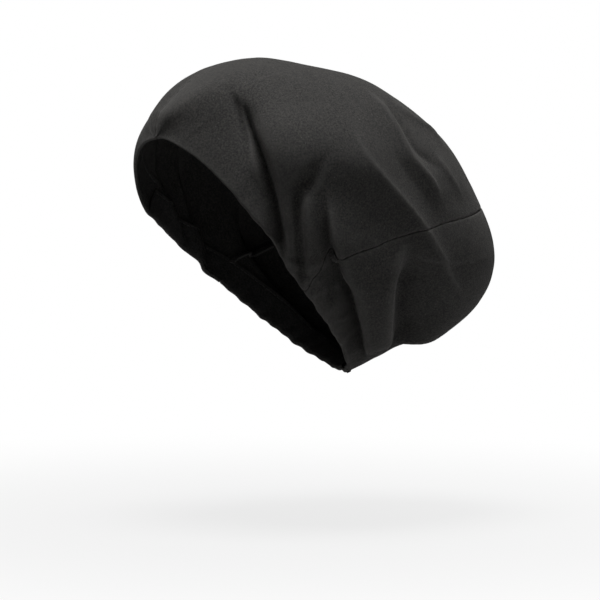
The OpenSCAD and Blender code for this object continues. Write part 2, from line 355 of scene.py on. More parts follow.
def gathers(t, side, from_hem):
    """Height of the gathers: bells across the rib at their own angles, fading with distance from the hem."""
    turn = hem_angle(t)
    turn = np.where(side > 0, turn, 360 - turn)
    drawn_in = eased([(0, 0), (50, 0), (75, 1), (180, 1.25)], hem_angle(t))
    total = 0
    for a, high, long, wide in zip(gather_turn, gather_high, gather_long, gather_wide):
        across = (turn - a) * 1.6
        total = total + high * np.exp(-(across / wide)**2) * np.exp(-(from_hem / long)**1.5)
    return total * drawn_in


def seam_drift(t, v, side):
    """How far the cloth near the back seam is dragged towards the front, in stations, by the deep lap."""
    left = eased([(0, 0), (0.05, -0.2), (0.14, -0.62), (0.18, -0.38), (0.3, -0.22), (0.4, -0.15),
                  (0.5, -0.07), (0.7, 0), (1, 0)], v)
    right = eased([(0, 0), (0.1, -0.3), (0.2, -0.1), (0.5, 0), (1, 0)], v)
    return np.where(side > 0, left, right) * np.exp(-((t - SEAM) / 1.2)**2)


def drape(t, v, side):
    """The worn cloth's outer face in mm: the bag, then folds, gathers and noise along its outward way."""
    t, v, side = np.broadcast_arrays(np.asarray(t, float), np.asarray(v, float), np.asarray(side, float))
    pulled = t + seam_drift(t, v, side)
    base = bag(pulled, v, side)
    out = bag_out(pulled, v, side)
    from_hem = np.linalg.norm(base - bag(pulled, 0 * v, side), axis=-1)
    moves = fold_moves(base, out, LEFT_FOLDS, 1) + fold_moves(base, out, RIGHT_FOLDS, -1)
    moves += puff_moves(base, out, LEFT_PUFFS, 1) + puff_moves(base, out, RIGHT_PUFFS, -1)
    by_hem = 1 - np.exp(-(from_hem / 14)**2)
    hem = bag(pulled, 0 * v, side)
    below = unit(hem - bag(pulled, 0 * v + 0.03, side))
    uneven = 0.65 * soft_noise(hem, 5.5, 1) * eased([(0, 0.15), (40, 0.2), (62, 1), (180, 1)], hem_angle(t))
    moves += below * (uneven * np.exp(-(from_hem / 5)**2))[..., None]
    rough = 0.9 * soft_noise(base, 42, 0) + 0.35 * soft_noise(base, 17, 1) + 0.12 * soft_noise(base, 7, 2)
    lift = rough * (0.25 + 0.75 * by_hem) + gathers(t, side, from_hem)
    return base + moves + out * lift[..., None], out


# %% [markdown]
# ## From a surface to a piece of cloth
#
# A sheet is a grid of points with a second grid just under it and a wall round the rim.
# Blender's Solidify does this too, but working out the inner face here lets each edge be
# shaped: the hem rolls under, and an edge that is sewn turns inwards into the seam. The inner
# face is a plain offset, so nothing keeps it from crossing itself in a very tight fold. The
# steps along a rib are even except near a seam, where they close up so that the turned edge
# is round. Each point also carries its thread coordinates, in metres along and across the
# cloth, and how worn it is, for the material to read later.

# %% Grid helpers
def grid_out(grid, hint):
    """Outward way of a grid of points: its two slopes crossed, turned to agree with the hint."""
    n = unit(np.cross(np.gradient(grid, axis=0), np.gradient(grid, axis=1)))
    return n * np.sign((n * hint).sum(-1).mean() + 1e-9)


def make_mesh(name, verts, faces, uvs, wear):
    """A mesh object from arrays: points in mm, faces of four corners, thread coordinates, wear."""
    mesh = bpy.data.meshes.new(name)
    mesh.vertices.add(len(verts))
    mesh.vertices.foreach_set("co", (verts * 0.001).astype(np.float32).ravel())
    mesh.loops.add(faces.size)
    mesh.loops.foreach_set("vertex_index", faces.astype(np.int32).ravel())
    mesh.polygons.add(len(faces))
    mesh.polygons.foreach_set("loop_start", np.arange(0, faces.size, faces.shape[1], dtype=np.int32))
    mesh.update(calc_edges=True)
    layer = mesh.uv_layers.new(name="thread")
    layer.data.foreach_set("uv", uvs[faces.ravel()].astype(np.float32).ravel())
    worn = mesh.attributes.new("wear", "FLOAT", "POINT")
    worn.data.foreach_set("value", wear.astype(np.float32).ravel())
    mesh.polygons.foreach_set("use_smooth", np.ones(len(mesh.polygons), bool))
    mesh.set_sharp_from_angle(angle=math.radians(62))
    piece = bpy.data.objects.new(name, mesh)
    bpy.context.scene.collection.objects.link(piece)
    return piece


def facing_sign(grid, out):
    """+1 if the grid's own turn already looks outwards, otherwise -1."""
    turn = np.cross(np.gradient(grid, axis=0), np.gradient(grid, axis=1))
    return 1 if (turn * out).sum() > 0 else -1


def sheet_arrays(outer, inner, uv, wear, facing):
    """Points, faces, thread coordinates and wear of one closed sheet: both grids and a wall round
    their rim. facing is +1 or -1 and turns the faces so that they look outwards."""
    rows, cols = outer.shape[:2]
    index = np.arange(rows * cols).reshape(rows, cols)
    a, b, c, d = index[:-1, :-1], index[1:, :-1], index[1:, 1:], index[:-1, 1:]
    top = np.stack([a, b, c, d], -1).reshape(-1, 4)
    low = top[:, ::-1] + rows * cols
    rim = np.concatenate([index[:, 0], index[-1, 1:], index[-2::-1, -1], index[0, -2::-1]])
    p, q = rim[:-1], rim[1:]
    wall = np.stack([q, p, p + rows * cols, q + rows * cols], -1)
    faces = np.concatenate([top, low, wall])
    if facing < 0:
        faces = faces[:, ::-1]
    verts = np.concatenate([outer.reshape(-1, 3), inner.reshape(-1, 3)])
    return verts, faces, np.tile(uv.reshape(-1, 2), (2, 1)), np.tile(wear.ravel(), 2)


def join_arrays(parts):
    """Several sets of arrays as one set."""
    starts = np.cumsum([0] + [len(verts) for verts, *_ in parts[:-1]])
    return (
        np.concatenate([part[0] for part in parts]),
        np.concatenate([part[1] + start for part, start in zip(parts, starts)]),
        np.concatenate([part[2] for part in parts]),
        np.concatenate([part[3] for part in parts]),
    )


def area_of(grid):
    """Area of a grid of points in square metres: half the crossed diagonals of each cell."""
    x = grid[1:, 1:] - grid[:-1, :-1]
    y = grid[:-1, 1:] - grid[1:, :-1]
    return float(np.linalg.norm(np.cross(x, y), axis=-1).sum()) / 2 * 1e-6


def crest_wear(grid, out):
    """Rubbing on fold crests, 0 to 1: how far a point stands above its neighbours' average."""
    level = grid
    for _ in range(3):
        level = level.copy()
        level[1:-1, 1:-1] = (level[:-2, 1:-1] + level[2:, 1:-1] + level[1:-1, :-2] + level[1:-1, 2:]) / 4
    return np.clip(((grid - level) * out).sum(-1) / 0.22, 0, 1)


CLOTH = 0.8                                   # thickness of the twill with its bulk, mm
TURN = 1.1                                    # radius of an edge turned into a seam, mm
CLOSE = (3.0, 2.3, 1.7, 1.2, 0.85, 0.55, 0.3, 0.12, 0.0)    # distances of the last rows to a seam, mm


def rib_runs(t, side):
    """Rib shares in fine steps and the distance along each rib that goes with them, in mm."""
    fine = np.linspace(0, 1, 240)
    steps = np.linalg.norm(np.diff(bag(t[:, None], fine[None], side), axis=1), axis=2)
    return fine, np.concatenate([np.zeros((len(t), 1)), np.cumsum(steps, axis=1)], 1)


def rib_shares(t, side, to_seam, count):
    """Rib shares in even steps of distance. Where the rib ends in a seam, the last rows close up.
    Also returns each point's distance to the end of its rib."""
    fine, run = rib_runs(t, side)
    full = run[:, -1:]
    even = np.linspace(0, 1, count)[None] * full
    if to_seam:
        ends = np.minimum(1, full * 0.5 / CLOSE[0]) * np.array(CLOSE)
        even = np.concatenate([np.linspace(0, 1, count)[None, :-1] * (full - ends[:, :1]), full - ends], 1)
    return np.stack([np.interp(e, r, fine) for e, r in zip(even, run)]), full - even


def turned_in(edge_distance):
    """How far cloth drops where it turns into a seam: a quarter circle in the last TURN mm, and a
    shallow pull before it."""
    s = np.clip(edge_distance, 0, None)
    inside = np.clip(TURN - s, 0, TURN)
    return TURN - np.sqrt(np.maximum(TURN**2 - inside**2, 0)) + 0.55 * np.exp(-s / 3.2)


def hem_roll(grid, out, leave, radius, count=7):
    """Extra columns before the hem: a half circle of this radius that carries the cloth down,
    under and up on the inside."""
    phi = np.linspace(math.pi, 0, count + 1)[:-1]
    r = radius[:, None, None]
    swing = np.sin(phi)[None, :, None]
    drop = 1 - np.cos(phi)[None, :, None]
    return grid[:, :1] - leave[:, :1] * r * swing - out[:, :1] * r * drop


def hem_radius(t):
    """Radius of the roll at the hem: small over the facing, larger where it holds the elastic."""
    return eased([(0, 1.0), (50, 1.0), (66, 1.7), (180, 1.7)], hem_angle(t))


print("cloth thickness, mm:", CLOTH)

# %% [markdown]
# ## The two crown panels
#
# Each crown panel is half of the bag, from the front hem to the seam across the back. The
# two are mirror patterns, but they hang differently. The free edge at the hem rolls under;
# the edge on the midline and the edge at the back seam turn inwards. Where the thread draws
# the cloth along a seam, the turned edge rises and falls a little.

# %% Crown panels
def seam_distance(t, shares, side):
    """Distance in mm from the back seam, along the way from rib to rib. It is below zero in the
    last row, where a panel runs on past the seam so that no light shows between the panels."""
    step = np.linalg.norm(bag(t + 0.01, shares, side) - bag(t - 0.01, shares, side), axis=-1) / 0.02
    return (t - SEAM) * step * np.sign(t.mean() - SEAM)


def stations_to_seam(first, last, count):
    """Stations in even steps, closing up at the seam across the back and ending just past it."""
    ends = np.array([0.11, 0.08, 0.055, 0.038, 0.025, 0.014, 0.006, 0.0, -0.012])
    if last == SEAM:
        return np.concatenate([np.linspace(first, SEAM - 0.15, count), SEAM - ends])
    return np.concatenate([SEAM + ends[::-1], np.linspace(SEAM + 0.15, last, count)])


def pucker(along, seed):
    """Share by which a seam's drop rises and falls with distance along it, about every 7 mm."""
    k = np.random.default_rng(seed).uniform(0, 6.28, 3)
    quick = 0.35 * np.sin(along / 1.15 + k[0]) * np.sin(along / 3.1 + k[1])
    return 1 + quick + 0.2 * np.sin(along / 5.3 + k[2])


def thread_uv(t, to_end):
    """Thread coordinates in metres: along the midline, and across from it down the rib."""
    fine = np.linspace(0, LAST, 800)
    run = run_along(midline(fine)[:, :2])
    return np.stack([np.interp(t, fine, run) * 0.001, to_end * 0.001], -1)


def rolled_panel(t, side, to_seam, count):
    """The outer face of a panel on one side, from the end of the hem roll to the midline, with its
    outward way, thread coordinates, wear, and the distances to the back seam and the midline."""
    shares, to_end = rib_shares(t, side, to_seam, count)
    station = np.broadcast_to(t[:, None], shares.shape)
    grid, out = drape(station, shares, side)
    gone = seam_distance(station, shares, side)
    drop = turned_in(gone) * pucker(to_end, 9)
    if to_seam:
        along = thread_uv(station, to_end)[..., 0] * 1000
        centre = turned_in(to_end) * pucker(along, 5)
        drop = np.maximum(drop, centre) + 0.3 * np.minimum(turned_in(to_end), turned_in(gone))
    grid = grid - out * drop[..., None]
    if to_seam:
        grid[..., 0] = side * np.maximum(side * grid[..., 0], 0.02)
    leave = unit(bag(t[:, None], 0.02, side) - bag(t[:, None], 0.0, side))
    roll = hem_roll(grid, out, leave, hem_radius(t))
    uv = thread_uv(station, to_end)
    turns = np.arange(roll.shape[1], 0, -1)[None, :, None]
    roll_uv = uv[:, :1] + np.array([0, 0.0005]) * turns
    from_hem = to_end[:, :1] - to_end
    rub = 0.9 * np.exp(-from_hem / 1.6) + 0.55 * np.exp(-np.abs(gone - 1.2) / 1.0)
    if to_seam:
        rub = rub + 0.55 * np.exp(-np.abs(to_end - 1.2) / 1.0)
    rub = rub + 0.8 * crest_wear(grid, out)
    grid = np.concatenate([roll, grid], 1)
    uv = np.concatenate([roll_uv, uv], 1)
    out = np.concatenate([np.repeat(out[:, :1], roll.shape[1], 1), out], 1)
    wear = np.concatenate([np.linspace(0.2, 1, roll.shape[1])[None] * np.ones((len(t), 1)), rub], 1)
    return grid, out, uv, np.clip(wear, 0, 1)


def crown_panel(name, side):
    """One crown panel as a closed sheet, and its area."""
    t = stations_to_seam(0.0, SEAM, 200)
    grid, out, uv, wear = rolled_panel(t, side, True, 150)
    n = grid_out(grid, out)
    n[:2] = n[2]
    inner = grid - n * CLOTH
    inner[..., 0] = side * np.maximum(side * inner[..., 0], 0.02)
    piece = make_mesh(name, *sheet_arrays(grid, inner, uv, wear, facing_sign(grid, n)))
    return piece, area_of(grid)


crown_left, left_area = crown_panel("crown_left_cloth", 1)
crown_right, right_area = crown_panel("crown_right_cloth", -1)
print("crown panels, square metres:", round(left_area, 4), round(right_area, 4))

# %% [markdown]
# ## The lower back panel
#
# Below the seam one panel runs from hem to hem round the back of the head and closes the bag
# at the nape. Its rows cross the midline, where there is no seam, so each row is the left
# side's rib followed by the right side's rib turned about.

# %% Back panel
def back_panel():
    """The lower back panel as one closed sheet, from the left hem over the midline to the right
    hem, and its area."""
    t = stations_to_seam(SEAM, LAST, 120)
    left, right = (rolled_panel(t, side, False, 112) for side in (1, -1))
    across = [np.concatenate([a, b[:, -2::-1]], 1) for a, b in zip(left, right)]
    grid, out, uv, wear = across
    uv = uv.copy()
    uv[:, left[0].shape[1]:, 1] *= -1
    n = grid_out(grid, out)
    n[-3:] = n[-4]
    piece = make_mesh("back_panel_cloth", *sheet_arrays(grid, grid - n * CLOTH, uv, wear, facing_sign(grid, n)))
    return piece, area_of(grid)


back_cloth, back_area = back_panel()
print("back panel, square metres:", round(back_area, 4))

# %% [markdown]
# ## The facing, the casing and the elastic
#
# Inside the front hem a straight strip, the facing, is sewn on and turned up so that the
# forehead meets clean cloth. From ear to ear round the nape a second strip makes a tunnel,
# the casing, and a woven elastic inside it draws the opening in. All three follow the draped
# cloth at a set depth under it, so they share its folds and gathers. A strip is made in a
# left and a right half, since the two sides hang differently. Near the front and the nape a
# rib is shorter than the strip is deep; there the two halves meet on the midline.
#
# This way has a fault. The strips cross the cloth and each other in places, most likely where
# a fold or a gather is tighter than the strip's depth. Letting the strips follow a smoother
# surface than the cloth does would be the thing to try next.

# %% Strips along the hem
FACING_START = 0.15                           # nearer the centre front, ribs are too short
FACING_END = 4.6                              # station over the temple where the facing stops
FACING_DEEP, CASING_DEEP = 22.0, 17.0
ELASTIC_LOW, ELASTIC_HIGH = 2.5, 14.5


def strip_shares(t, side, low, deep, cols):
    """Rib shares for a strip from low to deep mm above the hem, and the heights that go with them.
    Beside the front and the nape it reaches further along the slanted ribs, so its depth stays."""
    fine, run = rib_runs(t, side)
    reach = deep * (1 + 0.6 * np.exp(-((LAST - t) / 0.8)**2) + 0.3 * np.exp(-(t / 0.8)**2))
    top = np.minimum(reach, run[:, -1] - 0.05)
    base = np.minimum(low, top * 0.3)
    high = base[:, None] + (top - base)[:, None] * np.linspace(0, 1, cols)[None]
    return np.stack([np.interp(h, r, fine) for h, r in zip(high, run)]), high


def strip_half(t, side, low, deep, depth, thick, cols, stitch_rows, in_front):
    """One half of a strip as arrays. Its inner face lies depth mm under the cloth's outer face, and
    each row of stitches, given as a distance below the top edge, presses a groove into it."""
    shares, high = strip_shares(t, side, low, deep, cols)
    station = np.broadcast_to(t[:, None], shares.shape)
    grid, out = drape(station, shares, side)
    n = grid_out(grid, out)
    n[:2], n[-2:] = n[2], n[-3]
    fine, run = rib_runs(t, side)
    to_end = run[:, -1:] - high
    sink = np.zeros_like(high)
    if in_front:
        sink = turned_in(to_end)
    below_top = high[:, -1:] - high
    along = run_along(grid[:, 0])
    press = sum(0.32 * np.exp(-((below_top - row) / 0.9)**2) for row in stitch_rows) if stitch_rows else 0
    pull = 1 + 0.5 * np.sin(along * 2.1)[:, None] * np.sin(along * 0.37 + side)[:, None]
    face = grid - n * (depth(t)[:, None] + sink - press * pull - 0.25 * np.exp(-below_top / 0.6))[..., None]
    back = face + n * thick
    uv = np.stack([np.broadcast_to(along[:, None], high.shape) * 0.001, high * 0.001], -1)
    wear = np.clip(0.8 * np.exp(-below_top / 1.0) + 0.5 * np.exp(-high / 1.5), 0, 1)
    return sheet_arrays(back, face, uv, wear, facing_sign(back, n)), area_of(face), face, n


def strip(name, stations, low, deep, depth, thick=CLOTH, cols=20, stitch_rows=(), in_front=False):
    """A strip in two halves as one object, its area, and its inner faces for the stitches."""
    halves = [strip_half(stations, side, low, deep, depth, thick, cols, stitch_rows, in_front)
              for side in (1, -1)]
    piece = make_mesh(name, *join_arrays([h[0] for h in halves]))
    return piece, sum(h[1] for h in halves), [(h[2], h[3]) for h in halves]


facing, facing_area, facing_faces = strip(
    "front_facing_strip", np.linspace(FACING_START, FACING_END, 130), 0.3, FACING_DEEP,
    lambda t: 2.05 + 0 * t, cols=26, stitch_rows=(2.0,), in_front=True)
casing, casing_area, casing_faces = strip(
    "nape_casing_strip", np.linspace(FACING_END + 0.06, LAST - 0.2, 230), 0.3, CASING_DEEP,
    lambda t: 2 * hem_radius(t), cols=22, stitch_rows=(1.6,))
elastic, elastic_area, _ = strip(
    "nape_elastic", np.linspace(FACING_END + 0.25, LAST - 0.2, 200), ELASTIC_LOW, ELASTIC_HIGH,
    lambda t: 2.15 + 0 * t, thick=0.9, cols=14)
print("strips, square metres:", round(facing_area, 5), round(casing_area, 5), round(elastic_area, 5))

# %% [markdown]
# ## Seam allowances
#
# Every seam is sewn on the wrong side, so its two raw edges stand inside the cap as a narrow
# double fin. The fin on the centre seam runs from the facing over the head to the back seam;
# the fin on the back seam runs from hem to hem, and leans down a little. A fin is two plies
# swept along the seam line: at each step it goes inwards from the seam by its depth, and a
# slow wave lets it lie less than straight.

# %% Fins
FIN_FROM, FIN_DEEP, FIN_PLY = 1.7, 9.2, 0.62


def fin_lines(edge, down, aside, shift):
    """Grid from the seam line to the raw edge: the line, plus depth along down, plus a wave aside."""
    depth = np.linspace(FIN_FROM, FIN_DEEP, 8)
    run = run_along(edge)
    wave = 0.9 * np.sin(run / 19.0) + 0.45 * np.sin(run / 7.3 + 1.0)
    lean = wave[:, None] * (depth / FIN_DEEP)[None]**2 + shift
    return edge[:, None] + down[:, None] * depth[None, :, None] + aside[:, None] * lean[..., None], run, depth


def fin(name, edge, down, aside):
    """Two plies side by side along a seam line, and the middle line of their raw edge."""
    parts = []
    for shift in (-FIN_PLY / 2 - 0.03, FIN_PLY / 2 + 0.03):
        grid, run, depth = fin_lines(edge, down, aside, shift)
        uv = np.stack(np.broadcast_arrays(run[:, None], depth[None]), -1) * 0.001
        wear = np.broadcast_to((depth / FIN_DEEP)**3, grid.shape[:2])
        half = aside[:, None] * FIN_PLY / 2
        sign = facing_sign(grid, np.broadcast_to(aside[:, None], grid.shape))
        parts.append(sheet_arrays(grid + half, grid - half, uv, wear, sign))
    middle, _, _ = fin_lines(edge, down, aside, 0)
    return make_mesh(name, *join_arrays(parts)), middle


centre_t = np.linspace(1.15, SEAM - 0.05, 200)
centre_edge, centre_out = drape(centre_t, np.ones_like(centre_t), 1.0)
centre_edge[:, 0] = 0
centre_aside = np.tile(SIDEWAYS, (len(centre_t), 1))
centre_fin, centre_middle = fin("centre_seam_plies", centre_edge, -centre_out, centre_aside)

half_v = np.linspace(0.0, 1.0, 110)
side_edges = [drape(np.full_like(half_v, SEAM), half_v, side) for side in (1.0, -1.0)]
back_edge = np.concatenate([side_edges[0][0], side_edges[1][0][-2::-1]])
back_out = unit(np.concatenate([side_edges[0][1], side_edges[1][1][-2::-1]]))
start, stop = 9, len(back_edge) - 9
back_edge, back_out = back_edge[start:stop], back_out[start:stop]
back_run = unit(np.gradient(back_edge, axis=0))
lean = math.radians(22)
back_down = unit(-back_out * math.cos(lean) + np.array([0, 0, -1]) * math.sin(lean))
back_fin, back_middle = fin("back_seam_plies", back_edge, back_down, unit(np.cross(back_down, back_run)))
print("fins, mm long:", *(round(float(run_along(edge)[-1])) for edge in (centre_edge, back_edge)))

# %% [markdown]
# ## Thread
#
# The raw edges are overlocked: a thread wraps round them in loops, some five millimetres
# deep, so they can't fray. One loop is a flat oval, and the whole row is a helix of them
# along the edge, made as a thin tube. The facing and the casing are held by rows of plain
# stitches, each one a short capsule that dips into the cloth at both ends.

# %% Overlock and stitches
def tube(path, radius, sides, hint):
    """A closed tube along a path: rings square to the path, and a flat cap at each end."""
    run = unit(np.gradient(path, axis=0))
    a = unit(np.cross(run, hint))
    b = np.cross(run, a)
    turn = np.linspace(0, 2 * math.pi, sides, endpoint=False)
    ring = a[:, None] * np.cos(turn)[None, :, None] + b[:, None] * np.sin(turn)[None, :, None]
    verts = (path[:, None] + ring * radius).reshape(-1, 3)
    rows = np.arange(len(path) - 1)[:, None] * sides
    k = np.arange(sides)[None]
    nxt = (k + 1) % sides
    faces = np.stack([rows + k, rows + nxt, rows + nxt + sides, rows + k + sides], -1).reshape(-1, 4)
    return verts, faces


def overlock(name, middle):
    """Loops of thread over the raw edge of a fin: a flat oval in the fin's section, carried along."""
    edge, deep = middle[:, -1], unit(middle[:, -1] - middle[:, -2])
    run = run_along(edge)
    pitch, steps = 2.1, 12
    count = int(run[-1] / pitch)
    along = np.linspace(0, count * pitch, count * steps + 1)
    at = np.stack([np.interp(along, run, edge[:, k]) for k in range(3)], -1)
    down = unit(np.stack([np.interp(along, run, deep[:, k]) for k in range(3)], -1))
    aside = unit(np.cross(down, np.gradient(at, axis=0)))
    angle = 2 * math.pi * along / pitch
    path = at + down * (-2.3 + 2.65 * np.sin(angle))[:, None] + aside * (0.92 * np.cos(angle))[:, None]
    verts, faces = tube(path, 0.19, 5, down + 0.3 * aside)
    uv = np.zeros((len(verts), 2))
    uv[:, 0] = np.repeat(np.linspace(0, 1, len(path)), 5)
    return make_mesh(name, verts, faces, uv, np.zeros(len(verts)))


centre_thread = overlock("centre_seam_overlock", centre_middle)
back_thread = overlock("back_seam_overlock", back_middle)


def stitch_row(face, n, below_top, pitch, length):
    """Arrays of one row of stitches on the inner face of a strip, below its top edge. A stitch is
    seven rings of six points along an arch: height * (1 - x^2), thinner at both ends."""
    above = np.linalg.norm(face - face[:, -1:], axis=-1)
    col = np.abs(above - below_top).argmin(1)
    rows = np.arange(len(face))
    line, way = face[rows, col], n[rows, col]
    keep = above[:, 0] > below_top + 1
    line, way = line[keep], way[keep]
    run = run_along(line)
    starts = np.arange(1.0, run[-1] - length, pitch)
    x = np.linspace(-1, 1, 7)
    places = starts[:, None] + length * (x + 1)[None] / 2
    at = np.stack([np.interp(places, run, line[:, k]) for k in range(3)], -1)
    out = unit(np.stack([np.interp(places, run, way[:, k]) for k in range(3)], -1))
    at = at - out * (0.26 * (1 - x**2) - 0.12)[None, :, None]
    ahead = unit(np.gradient(at, axis=1))
    aside = unit(np.cross(out, ahead))
    turn = np.linspace(0, 2 * math.pi, 6, endpoint=False)
    thin = (0.21 * np.sqrt(np.clip(1.04 - x**2, 0.05, 1)))[None, :, None, None]
    third = np.cross(ahead, aside)
    ring = aside[:, :, None] * np.cos(turn)[:, None] + third[:, :, None] * np.sin(turn)[:, None]
    verts = (at[:, :, None] + ring * thin).reshape(-1, 3)
    k = np.arange(6)
    cell = np.stack([k, (k + 1) % 6, (k + 1) % 6 + 6, k + 6], -1)
    one = (cell[None] + np.arange(6)[:, None, None] * 6).reshape(-1, 4)
    caps = np.array([[3, 2, 1, 0], [5, 4, 3, 0], [36, 37, 38, 39], [36, 39, 40, 41]])
    one = np.concatenate([one, caps])
    faces = (one[None] + np.arange(len(starts))[:, None, None] * 42).reshape(-1, 4)
    return verts, faces, np.zeros((len(verts), 2)), np.zeros(len(verts))


def stitches(name, faces, below_top):
    """Stitch rows on both halves of a strip as one object."""
    rows = [stitch_row(face, n, below_top, 3.1, 2.5) for face, n in faces]
    return make_mesh(name, *join_arrays(rows))


facing_stitches = stitches("facing_stitches", facing_faces, 2.0)
casing_stitches = stitches("casing_stitches", casing_faces, 1.6)
threads = (centre_thread, back_thread, facing_stitches, casing_stitches)
print("thread faces:", sum(len(piece.data.polygons) for piece in threads))

# %% [markdown]
# ## A small language for materials
#
# The looks below are built from node graphs. Wiring them by hand is long and hard to read, so
# one small class wraps a node's output: adding or multiplying two of them adds the Math node
# that does it, and a plain number may stand on either side. One method makes every other node.

# %% Signal
class Signal:
    """A value inside a material. The signs + - * / and ** on signals add Math nodes."""

    def __init__(self, tree, socket=None):
        self.tree, self.socket = tree, socket

    def node(self, kind, inputs, out=0, **settings):
        """Adds a node, sets or wires its inputs, and gives back one of its outputs."""
        made = self.tree.nodes.new(kind)
        for name, value in settings.items():
            setattr(made, name, value)
        for slot, value in dict(inputs).items():
            if isinstance(value, Signal):
                self.tree.links.new(value.socket, made.inputs[slot])
            else:
                made.inputs[slot].default_value = value
        return Signal(self.tree, made.outputs[out])

    def math(self, operation, *values):
        """One Math node on these values, in order."""
        return self.node("ShaderNodeMath", enumerate(values), operation=operation)

    def __add__(self, other):
        return self.math("ADD", self, other)

    def __sub__(self, other):
        return self.math("SUBTRACT", self, other)

    def __rsub__(self, other):
        return self.math("SUBTRACT", other, self)

    def __mul__(self, other):
        return self.math("MULTIPLY", self, other)

    def __truediv__(self, other):
        return self.math("DIVIDE", self, other)

    def __rtruediv__(self, other):
        return self.math("DIVIDE", other, self)

    def __pow__(self, other):
        return self.math("POWER", self, other)

    def __rpow__(self, other):
        return self.math("POWER", other, self)

    def __neg__(self):
        return self.math("MULTIPLY", self, -1.0)

    __radd__ = __add__
    __rmul__ = __mul__

    def wave(self, pitch, shift=0.0):
        """A sine of this pitch in metres, from 0 to 1."""
        return 0.5 + 0.5 * self.math("SINE", self * (2 * math.pi / pitch) + shift)

    def noise(self, size, detail=2.0, rough=0.5):
        """Noise from 0 to 1 whose lumps are about this size in metres; the signal is a place."""
        inputs = {"Vector": self, "Scale": 1 / size, "Detail": detail, "Roughness": rough}
        return self.node("ShaderNodeTexNoise", inputs, normalize=True)

    def within(self, low, high):
        """0 below low, 1 above high, smooth between."""
        inputs = {"Value": self, "From Min": low, "From Max": high}
        return self.node("ShaderNodeMapRange", inputs, interpolation_type="SMOOTHSTEP")

    def blend(self, a, b):
        """The colour a where the signal is 0 and b where it is 1."""
        return self.node("ShaderNodeMix", {0: self, 6: a, 7: b}, out=2, data_type="RGBA")

    def times(self, amount):
        """A colour made lighter or darker by an amount."""
        return self.node("ShaderNodeVectorMath", {0: self, 3: amount}, operation="SCALE")

    def axis(self, name):
        """One part of a vector: X, Y or Z."""
        return self.node("ShaderNodeSeparateXYZ", {0: self}, out="XYZ".index(name))


def new_material(name):
    """An empty material, with a Signal to start from and its Principled shader."""
    made = bpy.data.materials.new(name)
    made.use_nodes = True
    return made, Signal(made.node_tree), made.node_tree.nodes["Principled BSDF"]


print("materials are written with Signal")

# %% [markdown]
# ## Black twill
#
# The cloth is a cotton and polyester twill of medium weight, dyed black. In twill each
# crossing is shifted by one yarn from its neighbour, so the surface carries fine diagonal
# ribs, about 0.6 mm apart. The height is the product of the rib wave and a shorter wave along
# the rib, the single floats of yarn; a bump turns it into shading. Yarn differs in thickness
# and the dye in depth: a noise the size of a few yarns and one a few centimetres across change
# the colour a little. Short fibres stand up from the face, which the sheen stands for: it lifts
# the brightness where the cloth turns away. Here and there a yarn took less dye, and shows as a
# paler, warmer fleck about a millimetre across. Rubbed places, the hem, the seam ridges and the
# fold crests, are paler and smoother, and there may be a rare speck of lint.

# %% Twill
def twill(name, base, warm, rib, depth, lint):
    """A twill of this base colour. rib is the pitch of its diagonal in metres, depth the strength
    of its relief, warm the colour its brighter yarns lean to. A higher lint gives more specks."""
    made, start, shader = new_material(name)
    thread = start.node("ShaderNodeUVMap", {}, uv_map="thread")
    place = start.node("ShaderNodeTexCoord", {}, out=3)
    wander = place.noise(0.006) * 0.0006
    along, across = thread.axis("X") + wander, thread.axis("Y")
    ribs = (along + across).wave(rib)
    floats = (along - across).wave(rib * 0.62, ribs * 2.0)
    yarn = place.noise(0.0011, 3.0, 0.65)
    patch = place.noise(0.035, 2.0)
    worn = start.node("ShaderNodeAttribute", {}, out=2, attribute_name="wear")
    worn = worn * (0.45 + 0.9 * place.noise(0.0025))
    speck = place.noise(0.0009, 0.0).within(0.80 - lint, 0.86 - lint)
    fleck = place.noise(0.0012, 1.0, 0.7)
    tone = -0.7 + 0.9 * yarn + 2.2 * fleck + 0.24 * patch + 0.12 * ribs
    colour = fleck.within(0.35, 0.65).blend(base, warm).times(tone.math("MAXIMUM", tone, 0.3))
    colour = (worn * 0.5).blend(colour, (0.085, 0.082, 0.078, 1))
    colour = (speck * 0.5).blend(colour, (0.16, 0.155, 0.15, 1))
    height = ribs * (0.45 + 0.55 * floats) + 0.9 * yarn + 0.5 * place.noise(0.0004, 1.0)
    bump = start.node("ShaderNodeBump", {"Strength": depth, "Distance": 0.0003, "Height": height})
    rough = 0.86 - 0.10 * worn + 0.08 * (yarn - 0.5)
    for slot, value in (("Base Color", colour), ("Roughness", rough), ("Normal", bump)):
        made.node_tree.links.new(value.socket, shader.inputs[slot])
    shader.inputs["Specular IOR Level"].default_value = 0.32
    shader.inputs["Sheen Weight"].default_value = 0.08
    shader.inputs["Sheen Roughness"].default_value = 0.45
    shader.inputs["Sheen Tint"].default_value = (1.0, 0.97, 0.93, 1)
    return made


black_twill = twill(
    "black_twill", (0.0288, 0.0282, 0.0278, 1), (0.0335, 0.0318, 0.0292, 1), 0.0006, 0.55, 0.0)
facing_twill = twill(
    "black_twill_facing", (0.026, 0.026, 0.0265, 1), (0.029, 0.028, 0.027, 1), 0.0005, 0.45, 0.01)
print("twill nodes:", len(black_twill.node_tree.nodes))

# %% [markdown]
# ## Elastic and thread
#
# The elastic is woven with rubber cores that run along it: fine straight ribs, crossed by
# closer weft lines, with a faint gloss. Sewing thread is three twisted strands; at this size
# the twist is a slanted wave round the thread, and the dye takes a little greyer than on the
# cloth. Both materials use the same Signal class.

